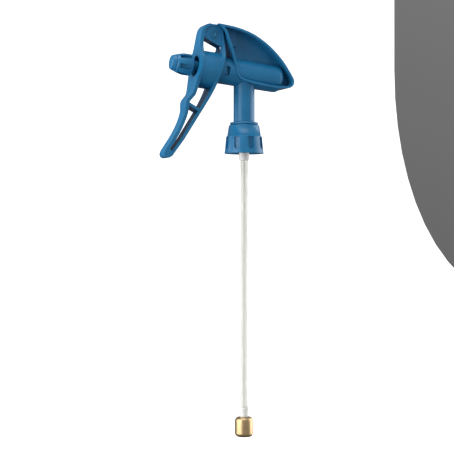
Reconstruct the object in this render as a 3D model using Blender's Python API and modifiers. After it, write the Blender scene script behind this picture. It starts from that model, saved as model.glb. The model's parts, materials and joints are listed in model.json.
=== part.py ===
"""Trigger sprayer head with a weighted dip tube.

The origin is on the neck's axis at the sealing face, where the gasket meets the bottle. +Z is up and the
nozzle points towards -X. Named sizes are in millimetres, and the helpers turn them into metres.

The barrel, pump and nozzle share one tilted axis. In their frame a place is given by s, the distance towards
the nozzle from the point above the neck, and n, the height above the axis.
"""

import math

import bmesh
import bpy
from mathutils import Matrix, Vector

MM = 0.001
GAP = 0.3  # left between pieces that touch
RUN = 0.4  # radial room of a piece that turns or slides

# Barrel and pump axis
HEAD_TILT = 6.5  # degrees, nozzle end up
AXIS_HEIGHT = 53.7  # above the sealing face, at the neck's axis
BARREL_R = 12.0
BARREL_WALL = 2.0
BARREL_FRONT = 25.5
BARREL_REAR = -34.5
BARREL_END_ROUND = 5.6

# Neck and closure nut
NECK_R = 9.3
NECK_BOTTOM = 5.7
NECK_BORE_R = 6.2
NECK_BORE_TOP = 26.0
COLLAR_R = 12.5
COLLAR_BOTTOM = 9.0
COLLAR_TOP = 11.0
PORT_R = 1.8
NUT_BOTTOM = -16.5
NUT_MOUTH_R = 17.3
NUT_STEP_R = 15.8
NUT_STEP = -1.2
NUT_CONE_R = 14.9
NUT_TOP_R = 13.5
NUT_TOP = COLLAR_BOTTOM - RUN
NUT_THREAD_R = 13.9
POCKET_COUNT = 8
POCKET_WIDTH = 5.2
POCKET_DEPTH = 1.3
POCKET_TOP = -2.0
POCKET_BOTTOM = -12.8

# Valve body, gasket and inlet valve
FLANGE_R = 11.9
FLANGE_BOTTOM = 1.9
FLANGE_TOP = 4.2
STEM_R = 4.5
STEM_BOTTOM = -22.6
STEM_BORE_R = 2.2
SPIGOT_TOP = 13.0
SEAT_DEPTH = 2.4
INLET_BALL_R = 2.4
BALL_LIFT = 1.2
CAGE_TOP = 20.0
GASKET_TOP = FLANGE_BOTTOM - GAP
GASKET_HOLE_R = 7.5

# Shroud
SHROUD_HALF = 12.5
SHROUD_WALL = 1.9
WEB_HALF = 1.3
TONGUE_HALF = 3.6

# Trigger
PIVOT_S = 34.0
PIVOT_N = 29.0
PULL = 16.0  # degrees
PIN_R = 2.7
BOSS_R = 3.8
BOSS_STEP = 0.4  # from the cheek's rim down to the boss
CHEEK_DEPTH = 1.0
CHEEK_RIM = 1.4
TONGUE_R = 6.6
CROWN_R = 8.7
TRIGGER_HALF = 7.5
FRONT_PLATE = 2.9
REAR_PLATE = 2.5
RIB = 2.2
HOOD_R = BARREL_R + 4.4
HOOD_WALL = 1.7
HOOD_DROP = 2.0
NOZZLE_HOLE_R = 9.0
NOSE_R = 1.8
NOSE_INNER = 6.2
NOSE_OUTER = HOOD_R - HOOD_WALL - 2.6

# Pump, plunger and nozzle, along s
LINER_REAR = -25.0
LINER_FLOOR = 1.6
LINER_FRONT = 21.5
LINER_WALL = 1.7
BUSH_FRONT = BARREL_FRONT - GAP
ROD_R = 4.3
ROD_BORE_R = 2.6
ROD_REAR = 12.0
ROD_FRONT = 64.5
PISTON_LENGTH = 6.0
PISTON_SEAL = 1.5
COLLAR_THICK = 1.9
DRIVE_COLLAR_R = NOSE_INNER + 3.3
NOZZLE_REAR = 49.3
NOZZLE_FRONT = 68.2
NOZZLE_R = 9.4
NOZZLE_TIP_R = 6.2
ORIFICE_R = 0.5
GRIP_COUNT = 6
GRIP_WIDTH = 4.2
GRIP_DEPTH = 1.8
SPRING_COIL_R = 5.3
SPRING_WIRE_R = 0.5
SPRING_TURNS = 7

# Dip tube, filter and weight
TUBE_R = 3.3
TUBE_TOP = STEM_BOTTOM - GAP
TUBE_LENGTH = 216.4
TUBE_BOTTOM = TUBE_TOP - TUBE_LENGTH
SLEEVE_R = 3.75
SLEEVE_LENGTH = 8.0
WEIGHT_R = 8.05
WEIGHT_LENGTH = 17.6
WEIGHT_ROUND = 3.4
FILTER_STEM_R = 2.9

ROUND = 32  # sides of a large turned piece
SMALL_ROUND = 16  # sides of a small one

TILT = math.radians(HEAD_TILT)
FORWARD = Vector((-math.cos(TILT), 0.0, math.sin(TILT)))
RISE = Vector((math.sin(TILT), 0.0, math.cos(TILT)))
AXIS_POINT = Vector((0.0, 0.0, AXIS_HEIGHT))


def head_point(along, height):
    """The place, in millimetres, at s and n in the barrel's frame."""
    return AXIS_POINT + along * FORWARD + height * RISE


PIVOT = head_point(PIVOT_S, PIVOT_N)
WORLD = Matrix.Identity(4)
HEAD = Matrix.Translation(AXIS_POINT * MM) @ Matrix.Rotation(TILT - math.pi / 2, 4, "Y")
AT_PIVOT = Matrix.Translation(PIVOT * MM)
SIDE_VIEW = Matrix.Rotation(math.pi / 2, 4, "X")  # an outline's x, y become X, Z
FRONT_VIEW = Matrix(((0, 0, 1, 0), (1, 0, 0, 0), (0, 1, 0, 0), (0, 0, 0, 1)))  # they become Y, Z

# The noses swing evenly either side of the pivot's foot, so the stroke is nearly straight.
NOSE_LEAD = math.radians(PULL / 2)
NOSE_S = PIVOT_S + PIVOT_N * math.sin(NOSE_LEAD)
NOSE_N = PIVOT_N * (1 - math.cos(NOSE_LEAD))
COLLAR_FRONT = NOSE_S - NOSE_R - GAP

PARTS = None
CUTTERS = None


def clear_scene():
    """Removes every object and makes the two collections."""
    global PARTS, CUTTERS
    for obj in list(bpy.data.objects):
        bpy.data.objects.remove(obj, do_unlink=True)
    PARTS = bpy.data.collections.new("trigger_sprayer")
    CUTTERS = bpy.data.collections.new("cutters")
    for collection in (PARTS, CUTTERS):
        bpy.context.scene.collection.children.link(collection)


def finish(name, colour, roughness, metallic=0.0):
    """A plain Principled material."""
    made = bpy.data.materials.new(name)
    made.use_nodes = True
    shader = made.node_tree.nodes["Principled BSDF"]
    shader.inputs["Base Color"].default_value = (*colour, 1.0)
    shader.inputs["Roughness"].default_value = roughness
    shader.inputs["Metallic"].default_value = metallic
    return made


def link(obj, place, material=None):
    """Puts an object in the parts, or in the cutters when it has no material."""
    obj.matrix_world = place
    if material:
        PARTS.objects.link(obj)
        obj.data.materials.append(material)
        return obj
    CUTTERS.objects.link(obj)
    obj.hide_render = True
    obj.display_type = "WIRE"
    return obj


def from_bmesh(name, mesh, place, material=None):
    """An object from a bmesh in metres."""
    data = bpy.data.meshes.new(name)
    mesh.to_mesh(data)
    mesh.free()
    return link(bpy.data.objects.new(name, data), place, material)


def turned(name, profile, place, material=None, sides=ROUND):
    """A Screw about local Z of (radius, height) points, which run down the outer side first."""
    mesh = bmesh.new()
    points = [mesh.verts.new((radius * MM, 0.0, height * MM)) for radius, height in profile]
    for first, second in zip(points, points[1:]):
        mesh.edges.new((first, second))
    if profile[0][0] > 0:
        mesh.edges.new((points[-1], points[0]))
    obj = from_bmesh(name, mesh, place, material)
    screw = obj.modifiers.new("Turn", "SCREW")
    screw.steps = sides
    screw.render_steps = sides
    screw.use_merge_vertices = True
    screw.merge_threshold = 1e-6
    screw.use_smooth_shade = True
    return obj


def ring(name, outer, inner, low, high, place, material=None, sides=ROUND):
    """A turned ring or sleeve."""
    return turned(name, [(outer, high), (outer, low), (inner, low), (inner, high)], place, material, sides)


def rod(name, radius, low, high, place, material=None, sides=ROUND):
    """A cylinder along local Z."""
    mesh = bmesh.new()
    shift = Matrix.Translation((0.0, 0.0, (low + high) / 2 * MM))
    half_step = Matrix.Rotation(math.pi / sides, 4, "Z")
    bmesh.ops.create_cone(
        mesh,
        cap_ends=True,
        segments=sides,
        radius1=radius * MM,
        radius2=radius * MM,
        depth=(high - low) * MM,
        matrix=shift @ half_step,
    )
    return from_bmesh(name, mesh, place, material)


def block(name, low, high, place, material=None):
    """A box between two corners in millimetres."""
    low, high = Vector(low), Vector(high)
    mesh = bmesh.new()
    size = Matrix.Diagonal((*((high - low) * MM), 1.0))
    bmesh.ops.create_cube(mesh, size=1.0, matrix=Matrix.Translation((low + high) / 2 * MM) @ size)
    return from_bmesh(name, mesh, place, material)


def ball(name, radius, place, material):
    """A sphere at the place's origin."""
    mesh = bmesh.new()
    bmesh.ops.create_uvsphere(mesh, u_segments=SMALL_ROUND, v_segments=8, radius=radius * MM)
    return from_bmesh(name, mesh, place, material)


def prism(name, outlines, half, place, view=SIDE_VIEW, material=None):
    """Flat outlines, extruded by half to each side. An outline inside another is a hole."""
    curve = bpy.data.curves.new(name, "CURVE")
    curve.dimensions = "2D"
    curve.fill_mode = "BOTH"
    curve.extrude = half * MM
    for outline in outlines:
        spline = curve.splines.new("POLY")
        spline.points.add(len(outline) - 1)
        for point, (x, y) in zip(spline.points, outline):
            point.co = (x * MM, y * MM, 0.0, 1.0)
        spline.use_cyclic_u = True
    flat = bpy.data.objects.new(name, curve)
    bpy.context.scene.collection.objects.link(flat)
    seen = flat.evaluated_get(bpy.context.evaluated_depsgraph_get())
    data = bpy.data.meshes.new_from_object(seen)
    bpy.data.objects.remove(flat, do_unlink=True)
    mesh = bmesh.new()
    mesh.from_mesh(data)
    bmesh.ops.remove_doubles(mesh, verts=mesh.verts, dist=1e-6)
    bmesh.ops.transform(mesh, matrix=view, verts=mesh.verts)
    bmesh.ops.recalc_face_normals(mesh, faces=mesh.faces)
    bpy.data.meshes.remove(data)
    return from_bmesh(name, mesh, place, material)


def coil(name, coil_r, wire_r, low, high, turns, place, material):
    """A compression spring along local Z, with its end turns inside low and high."""
    curve = bpy.data.curves.new(name, "CURVE")
    curve.dimensions = "3D"
    curve.bevel_depth = wire_r * MM
    curve.bevel_resolution = 1
    curve.use_fill_caps = True
    per_turn = 8
    count = turns * per_turn + 1
    rise = (high - low - 2 * wire_r) / (count - 1)
    spline = curve.splines.new("POLY")
    spline.points.add(count - 1)
    for index, point in enumerate(spline.points):
        angle = 2 * math.pi * index / per_turn
        height = low + wire_r + rise * index
        point.co = (coil_r * math.cos(angle) * MM, coil_r * math.sin(angle) * MM, height * MM, 1.0)
    return link(bpy.data.objects.new(name, curve), place, material)


def shape_with(obj, tool, operation="DIFFERENCE"):
    """Adds a Boolean of another object."""
    change = obj.modifiers.new(f"{operation.title()} {tool.name}", "BOOLEAN")
    change.operation = operation
    change.object = tool
    change.solver = "EXACT"
    return obj


def weld_slivers(obj):
    """Joins the points of slivers, thinner than a tenth of a millimetre, that the Booleans leave."""
    weld = obj.modifiers.new("Weld", "WELD")
    weld.merge_threshold = 0.08 * MM


def smooth(points, steps=3):
    """Points along a Catmull-Rom curve through the given ones."""
    ends = [points[0], *points, points[-1]]
    result = []
    for a, b, c, d in zip(ends, ends[1:], ends[2:], ends[3:]):
        for step in range(steps):
            t = step / steps
            weights = (
                (-t + 2 * t**2 - t**3) / 2,
                (2 - 5 * t**2 + 3 * t**3) / 2,
                (t + 4 * t**2 - 3 * t**3) / 2,
                (t**3 - t**2) / 2,
            )
            corners = zip(weights, (a, b, c, d))
            x, y = map(sum, zip(*((w * p[0], w * p[1]) for w, p in corners)))
            result.append((x, y))
    return [*result, points[-1]]


def arc(centre, radius, start, end, steps):
    """Points on an arc, with its angles in degrees."""
    turns = [math.radians(start + (end - start) * i / steps) for i in range(steps + 1)]
    return [(centre[0] + radius * math.cos(a), centre[1] + radius * math.sin(a)) for a in turns]


def inset(points, distance):
    """An open line moved to its right, seen along its direction."""
    moved = []
    for index, (x, y) in enumerate(points):
        before = points[max(index - 1, 0)]
        after = points[min(index + 1, len(points) - 1)]
        run = Vector((after[0] - before[0], after[1] - before[1])).normalized()
        moved.append((x + run.y * distance, y - run.x * distance))
    return moved


def shrunk(outline, distance):
    """A closed clockwise outline moved inwards, without the loops that tight corners would leave."""
    closed = [outline[-1], *outline, outline[0]]
    moved = inset(closed, distance)[1:-1]
    edges = [(Vector(a), Vector(b) - Vector(a)) for a, b in zip(outline, [*outline[1:], outline[0]])]

    def away(point):
        best = math.inf
        for start, run in edges:
            share = (Vector(point) - start).dot(run) / run.length_squared
            nearest = start + run * min(max(share, 0.0), 1.0)
            best = min(best, (Vector(point) - nearest).length)
        return best

    kept = []
    for point in moved:
        if away(point) > 0.97 * distance and (not kept or math.dist(point, kept[-1]) > 0.5):
            kept.append(point)
    return kept


def between(points, high, low):
    """The part of a line that runs downwards, cut at two heights."""

    def at(height):
        for (x0, y0), (x1, y1) in zip(points, points[1:]):
            if y0 >= height >= y1 and y0 > y1:
                return (x0 + (x1 - x0) * (y0 - height) / (y0 - y1), height)
        raise ValueError(f"the line doesn't reach {height}")

    return [at(high), *(p for p in points if high - 0.2 > p[1] > low + 0.2), at(low)]


def recess(name, width, low, high, reach, place):
    """A cutter for an upright recess with a round foot, which starts at reach along local X."""
    half = width / 2
    foot = arc((0.0, low + half), half, 180.0, 360.0, 6)
    head = [(half, high), (-half, high)]
    middle = place @ Matrix.Translation(((reach + 4.5) * MM, 0.0, 0.0))
    return prism(name, [[*foot, *head]], 4.5, middle, FRONT_VIEW)


def trigger_front():
    """The front face seen from the side, downwards from the brow, with its places from the pivot."""
    return [
        (-11.9, -1.5),
        (-12.9, -7.8),
        (-13.7, -16.2),
        (-14.2, -24.5),
        (-15.4, -32.5),
        (-17.6, -41.0),
        (-19.2, -48.0),
        (-20.6, -52.2),
        (-24.4, -56.6),
        (-25.9, -60.2),
        (-26.1, -65.0),
        (-27.6, -71.5),
        (-31.6, -81.0),
        (-37.0, -90.5),
        (-43.9, -100.8),
    ]


def trigger_rear():
    """The rear face, downwards from beside the pivot."""
    return [
        (8.7, -1.0),
        (9.3, -6.5),
        (9.4, -12.0),
        (8.1, -19.4),
        (5.9, -26.6),
        (3.8, -34.3),
        (1.6, -42.2),
        (-3.1, -52.8),
        (-10.8, -66.1),
        (-19.0, -79.0),
        (-27.2, -91.9),
        (-37.8, -106.2),
    ]


def trigger_width():
    """Half the trigger's width at each height below the pivot: wide round the hood, narrow at the grip."""
    widest = HOOD_R + 0.2
    side = [
        (TRIGGER_HALF, 14.0),
        (TRIGGER_HALF, -1.0),
        (TRIGGER_HALF + 0.8, -7.5),
        (TRIGGER_HALF + 2.4, -12.5),
        (widest - 3.4, -17.2),
        (widest - 0.7, -21.5),
        (widest, -26.5),
        (widest, -31.0),
        (widest - 1.2, -36.5),
        (TRIGGER_HALF + 5.4, -42.0),
        (TRIGGER_HALF + 3.9, -48.0),
        (TRIGGER_HALF + 2.3, -55.5),
        (TRIGGER_HALF + 0.9, -64.0),
        (TRIGGER_HALF, -75.0),
        (TRIGGER_HALF, -112.0),
    ]
    right = smooth(side, 2)
    return [*right, *((-x, z) for x, z in reversed(right))]


def add_cheeks(trigger):
    """Sinks each cheek inside its rim, and leaves a boss round the pin."""
    inner = CROWN_R - CHEEK_RIM
    hollow = [(-8.6, -13.0), (-8.8, -2.0), (-7.8, 3.2), (-4.9, 6.4), *arc((0.0, 0.0), inner, 100.0, -5.0, 8)]
    hollow = [*hollow, (inner, -6.0), (inner, -13.0)]
    floor = TRIGGER_HALF - CHEEK_DEPTH
    for side in (-1, 1):
        middle = AT_PIVOT @ Matrix.Translation((0.0, side * (floor + 5.0) * MM, 0.0))
        shape_with(trigger, prism(f"cheek_{side}", [hollow], 5.0, middle))
    for side in (-1, 1):
        low, high = sorted((side * (floor - 1.0), side * (TRIGGER_HALF - BOSS_STEP)))
        shape_with(trigger, rod(f"boss_{side}", BOSS_R, low, high, AT_PIVOT @ SIDE_VIEW), "UNION")


def make_trigger(material):
    """The lever: two plates joined at the pivot and the tip, with the tubular hood between them."""
    front, rear = smooth(trigger_front(), 2), smooth(trigger_rear(), 2)
    brow = smooth([(-0.8, 8.66), (-3.8, 9.2), (-7.4, 8.0), (-10.4, 4.3), (-11.9, -1.5)], 3)
    crown = arc((0.0, 0.0), CROWN_R, 95.0, -5.0, 8)
    tip = smooth([rear[-1], (-40.8, -107.9), (-44.0, -107.2), (-45.2, -104.2), front[-1]], 2)
    outline = [*reversed(front), *reversed(brow[1:-1]), *crown, *rear[1:], *tip[1:-1]]
    trigger = prism("trigger", [outline], HOOD_R + 3.0, AT_PIVOT, SIDE_VIEW, material)
    width = prism("trigger_width", [trigger_width()], 70.0, AT_PIVOT, FRONT_VIEW)
    shape_with(trigger, width, "INTERSECT")

    front_in, rear_in = inset(front, -FRONT_PLATE), inset(rear, REAR_PLATE)
    rib_front, rib_rear = -60.0, -65.2
    upper = [*between(front_in, -2.6, rib_front), *reversed(between(rear_in, -10.6, rib_rear))]
    tip_gap = between(front_in, rib_front - 1.1 * RIB, -100.5)
    lower = [*tip_gap, *reversed(between(rear_in, rib_rear - 0.9 * RIB, -102.5))]
    windows = [
        prism("upper_window", [upper], HOOD_R + 4.0, AT_PIVOT),
        prism("lower_window", [lower], HOOD_R + 4.0, AT_PIVOT),
    ]
    hood_place = HEAD @ Matrix.Translation((-HOOD_DROP * MM, 0.0, 0.0))
    shape_with(windows[0], rod("hood_outside", HOOD_R, 0.0, 60.0, hood_place))
    for window in windows:
        shape_with(trigger, window)
    hood_end = -front[0][0] + PIVOT_S - 2.6
    shape_with(trigger, rod("hood_bore", HOOD_R - HOOD_WALL, 5.0, hood_end, hood_place))
    shape_with(trigger, rod("nozzle_hole", NOZZLE_HOLE_R, 30.0, 60.0, HEAD))

    add_cheeks(trigger)
    slot_half = TONGUE_HALF + RUN
    slot_room = [*arc((0.0, 0.0), TONGUE_R + RUN, 255.0, 90.0, 10), (20.0, 10.5), (20.0, -19.0), (2.5, -9.8)]
    shape_with(trigger, prism("tongue_slot", [slot_room], slot_half, AT_PIVOT))
    shape_with(trigger, rod("pin_bore", PIN_R + GAP, -30.0, 30.0, AT_PIVOT @ SIDE_VIEW, sides=24))

    for side in (-1, 1):
        inner, outer = sorted((side * NOSE_INNER, side * NOSE_OUTER))
        nose = block(
            f"nose_{side}",
            (NOSE_N - NOSE_R, inner, NOSE_S),
            (NOSE_N + NOSE_R, outer, hood_end + 0.6),
            HEAD,
        )
        centre = HEAD @ Matrix.Translation((NOSE_N * MM, 0.0, NOSE_S * MM)) @ SIDE_VIEW
        low, high = sorted((-inner, -outer))
        shape_with(nose, rod(f"nose_round_{side}", NOSE_R, low, high, centre, sides=16), "UNION")
        shape_with(trigger, nose, "UNION")
    return trigger


def shroud_outline():
    """The teardrop, up the front, over the top and back along the bottom, with its places from the pivot."""
    front = smooth([(21.1, -36.4), (19.8, -34.0), (18.4, -28.9), (16.2, -20.4), (13.2, -9.4)], 2)
    brow = smooth([(13.2, -9.4), (10.6, -3.2), (8.9, 1.8), (5.6, 5.6), (2.0, 8.9)], 2)
    crest = [(2.0, 8.9), (8.2, 8.2), (21.0, 5.9), (35.8, 0.7), (50.6, -9.1), (62.6, -21.2), (69.8, -31.6)]
    tail = [(69.8, -31.6), (72.5, -36.1), (73.3, -38.8), (72.5, -42.3), (69.7, -44.6), (66.3, -45.2)]
    belly = [(66.3, -45.2), (57.7, -45.2), (50.1, -44.4), (35.5, -42.0), (24.9, -39.4), (21.1, -36.4)]
    return [*front[:-1], *brow[:-1], *smooth(crest, 3)[:-1], *smooth(tail, 2)[:-1], *smooth(belly, 2)[:-1]]


def make_housing(material):
    """Barrel, neck and teardrop shroud in one moulding."""
    end_centre = (BARREL_R - BARREL_END_ROUND, BARREL_REAR + BARREL_END_ROUND)
    rounded = arc(end_centre, BARREL_END_ROUND, 0.0, -90.0, 5)
    barrel_outline = [(0.0, BARREL_FRONT), (BARREL_R, BARREL_FRONT), *rounded, (0.0, BARREL_REAR)]
    housing = turned("body_housing", barrel_outline, HEAD, material)
    neck_outline = [
        (0.0, AXIS_HEIGHT),
        (NECK_R, AXIS_HEIGHT),
        (NECK_R, COLLAR_TOP),
        (COLLAR_R - 0.6, COLLAR_TOP),
        (COLLAR_R, COLLAR_TOP - 0.8),
        (COLLAR_R, COLLAR_BOTTOM + 0.4),
        (COLLAR_R - 0.5, COLLAR_BOTTOM),
        (NECK_R, COLLAR_BOTTOM),
        (NECK_R, NECK_BOTTOM),
        (0.0, NECK_BOTTOM),
    ]
    shape_with(housing, turned("neck", neck_outline, WORLD), "UNION")

    outline = shroud_outline()
    rim = prism("shroud_rim", [outline], SHROUD_HALF, AT_PIVOT)
    shape_with(rim, prism("shroud_hollow", [shrunk(outline, SHROUD_WALL)], SHROUD_HALF + 2.0, AT_PIVOT))
    lever_room = [
        *arc((0.0, 0.0), 9.3, 180.0, 20.0, 12),
        (10.0, 3.0),
        (11.4, -2.5),
        (13.2, -8.5),
        (13.8, -17.0),
        (-8.0, -17.0),
    ]
    shape_with(rim, prism("lever_room", [lever_room], TRIGGER_HALF + 3.6, AT_PIVOT))
    tongue_end = arc((0.0, 0.0), TONGUE_R, 250.0, 75.0, 10)
    tongue = [*tongue_end, (9.0, 6.8), (22.0, 4.5), (22.0, -10.0), (8.0, -6.6)]
    shape_with(rim, prism("pivot_tongue", [tongue], TONGUE_HALF, AT_PIVOT), "UNION")
    shape_with(rim, prism("shroud_web", [shrunk(outline, 0.7)], WEB_HALF, AT_PIVOT), "UNION")
    shape_with(housing, rim, "UNION")

    bore_r = BARREL_R - BARREL_WALL
    shape_with(housing, rod("barrel_bore", bore_r, LINER_REAR - GAP, BARREL_FRONT + 5.0, HEAD))
    shape_with(housing, rod("neck_bore", NECK_BORE_R, NECK_BOTTOM - 5.0, NECK_BORE_TOP, WORLD, sides=32))
    shape_with(housing, rod("inlet_port", PORT_R, NECK_BORE_TOP - 2.0, AXIS_HEIGHT - 2.0, WORLD, sides=16))
    shape_with(housing, rod("tongue_bore", PIN_R + GAP, -30.0, 30.0, AT_PIVOT @ SIDE_VIEW, sides=24))
    slot = block("lug_slot", (-5.2, -30.0, 17.3), (2.6, -bore_r + 3.0, 21.2), HEAD)
    shape_with(housing, slot)
    weld_slivers(housing)
    return housing


def make_nut(material):
    """The closure nut, with grip pockets round its skirt."""
    lip_hole = NECK_R + RUN
    shelf = FLANGE_TOP + GAP
    room = FLANGE_R + 1.0
    profile = [
        (NUT_TOP_R - 0.7, NUT_TOP),
        (NUT_TOP_R, NUT_TOP - 0.8),
        (NUT_CONE_R, NUT_STEP),
        (NUT_STEP_R - 0.4, NUT_STEP),
        (NUT_STEP_R, NUT_STEP - 0.5),
        (NUT_MOUTH_R - 0.5, NUT_BOTTOM + 4.0),
        (NUT_MOUTH_R, NUT_BOTTOM),
        (NUT_THREAD_R + 0.6, NUT_BOTTOM),
        (NUT_THREAD_R, NUT_BOTTOM + 0.6),
        (NUT_THREAD_R, NUT_STEP - 1.4),
        (room, NUT_STEP),
        (room, shelf),
        (lip_hole, shelf),
        (lip_hole, NUT_TOP),
    ]
    nut = turned("closure_nut", profile, WORLD, material, 40)
    for index in range(POCKET_COUNT):
        turn = Matrix.Rotation(math.radians(250.0) + (index + 0.5) * 2 * math.pi / POCKET_COUNT, 4, "Z")
        reach = NUT_STEP_R - POCKET_DEPTH
        pocket = recess(f"pocket_{index}", POCKET_WIDTH, POCKET_BOTTOM, POCKET_TOP, reach, turn)
        shape_with(nut, pocket)
    return nut


def make_inlet(white, rubber, steel):
    """Valve body with the tube socket, ball, cage, seals and bottle gasket, all on the neck's axis."""
    spigot = NECK_BORE_R - GAP
    turned(
        "valve_body",
        [
            (spigot, SPIGOT_TOP),
            (spigot, FLANGE_TOP),
            (FLANGE_R, FLANGE_TOP),
            (FLANGE_R, FLANGE_BOTTOM),
            (STEM_R, FLANGE_BOTTOM),
            (STEM_R, STEM_BOTTOM + 0.9),
            (STEM_R - 0.5, STEM_BOTTOM),
            (STEM_BORE_R, STEM_BOTTOM),
            (STEM_BORE_R * 0.7, SPIGOT_TOP - SEAT_DEPTH),
            (INLET_BALL_R + 0.6, SPIGOT_TOP),
        ],
        WORLD,
        white,
    )
    ball_z = SPIGOT_TOP + 0.55 * INLET_BALL_R
    ball("inlet_ball", INLET_BALL_R, Matrix.Translation((0.0, 0.0, ball_z * MM)), steel)
    room = INLET_BALL_R + RUN
    roof = ball_z + INLET_BALL_R + BALL_LIFT + GAP
    turned(
        "ball_cage",
        [
            (spigot, CAGE_TOP),
            (spigot, SPIGOT_TOP + GAP),
            (room + 0.4, SPIGOT_TOP + GAP),
            (room, roof),
            (1.1, roof),
            (1.1, CAGE_TOP),
        ],
        WORLD,
        white,
        SMALL_ROUND,
    )
    ring("neck_seal", NECK_R - GAP, NECK_BORE_R + GAP, FLANGE_TOP + GAP, NECK_BOTTOM - GAP, WORLD, rubber)
    ring("bottle_gasket", FLANGE_R + 0.6, GASKET_HOLE_R, 0.0, GASKET_TOP, WORLD, rubber)


def make_pump(white, rubber, steel):
    """The cylinder inside the barrel, with its bush, wiper and return spring."""
    outer = BARREL_R - BARREL_WALL - GAP
    bore = outer - LINER_WALL
    cylinder = turned(
        "pump_cylinder",
        [(outer, LINER_FRONT), (outer, LINER_REAR), (1.5, LINER_REAR), (1.5, LINER_REAR + LINER_FLOOR),
         (bore, LINER_REAR + LINER_FLOOR), (bore, LINER_FRONT)],
        HEAD,
        white,
        32,
    )
    lug = block("snap_lug", (-4.4, -BARREL_R + 0.9, 19.9), (1.8, -outer + 1.0, 20.8), HEAD)
    shape_with(cylinder, lug, "UNION")
    shape_with(cylinder, block("lug_pocket", (-4.4, -BARREL_R, 17.7), (1.8, -outer + 1.1, 19.6), HEAD))
    port = rod("cylinder_port", PORT_R - GAP, 0.0, AXIS_HEIGHT - 2.0, WORLD, sides=12)
    shape_with(cylinder, port)
    wiper_low = LINER_FRONT - 2.4
    ring("rod_wiper", bore - GAP, ROD_R + GAP, wiper_low, LINER_FRONT - GAP, HEAD, rubber, 24)
    ring("rod_bush", outer, ROD_R + RUN, LINER_FRONT + GAP, BUSH_FRONT, HEAD, white, 32)
    coil("return_spring", SPRING_COIL_R, SPRING_WIRE_R, LINER_REAR + LINER_FLOOR + GAP, ROD_REAR - GAP,
         SPRING_TURNS, HEAD, steel)
    return bore, wiper_low


def make_plunger(material, white, rubber, steel, bore, wiper_low):
    """The hollow rod with its drive collar, piston, seals and outlet valve."""
    turned(
        "piston_rod",
        [
            (ROD_R, ROD_FRONT),
            (ROD_R, COLLAR_FRONT),
            (DRIVE_COLLAR_R, COLLAR_FRONT),
            (DRIVE_COLLAR_R, COLLAR_FRONT - COLLAR_THICK),
            (ROD_R, COLLAR_FRONT - COLLAR_THICK),
            (ROD_R, ROD_REAR),
            (ROD_BORE_R, ROD_REAR),
            (ROD_BORE_R, ROD_FRONT),
        ],
        HEAD,
        material,
        32,
    )
    crown = bore - RUN
    core = ROD_R + 1.3
    low = ROD_REAR
    high = min(low + PISTON_LENGTH, wiper_low - GAP)
    groove = PISTON_SEAL + 2 * GAP
    edge = (high - low - 2 * groove) / 3
    steps = [high, high - edge, high - edge - groove, low + edge + groove, low + edge, low]
    outer = [(crown, steps[0]), (crown, steps[1]), (core, steps[1]), (core, steps[2]), (crown, steps[2]),
             (crown, steps[3]), (core, steps[3]), (core, steps[4]), (crown, steps[4]), (crown, steps[5])]
    turned("piston_head", [*outer, (ROD_R + GAP, low), (ROD_R + GAP, high)], HEAD, white, 24)
    for name, place in (("front_piston_seal", steps[2]), ("rear_piston_seal", steps[4])):
        ring(name, bore - 0.2, core + GAP, place + GAP, place + GAP + PISTON_SEAL, HEAD, rubber, 24)

    inner = ROD_BORE_R - GAP
    seat_top = ROD_REAR + 3.0
    turned(
        "outlet_seat",
        [
            (inner, seat_top),
            (inner, ROD_REAR + GAP),
            (0.9, ROD_REAR + GAP),
            (0.9, seat_top - 0.9),
            (1.7, seat_top),
        ],
        HEAD,
        white,
        SMALL_ROUND,
    )
    ball_r = inner - RUN
    ball_s = seat_top + 0.75 * ball_r
    ball("outlet_ball", ball_r, HEAD @ Matrix.Translation((0.0, 0.0, ball_s * MM)), steel)
    coil_low = ball_s + ball_r + GAP
    coil_high = coil_low + 9.0
    coil("outlet_spring", inner - 0.5, 0.25, coil_low, coil_high, 5, HEAD, steel)
    ring("spring_stop", inner, 0.9, coil_high + GAP, coil_high + 2.5, HEAD, white, SMALL_ROUND)
    insert = ring("swirl_insert", inner, 0.8, ROD_FRONT - 5.0, ROD_FRONT - 0.4, HEAD, white, SMALL_ROUND)
    for index in range(2):
        turn = HEAD @ Matrix.Rotation(index * math.pi / 2, 4, "Z")
        low, high = (-5.0, -0.35, ROD_FRONT - 1.2), (5.0, 0.35, ROD_FRONT + 1.0)
        cross = block(f"swirl_slot_{index}", low, high, turn)
        shape_with(insert, cross)


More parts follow.
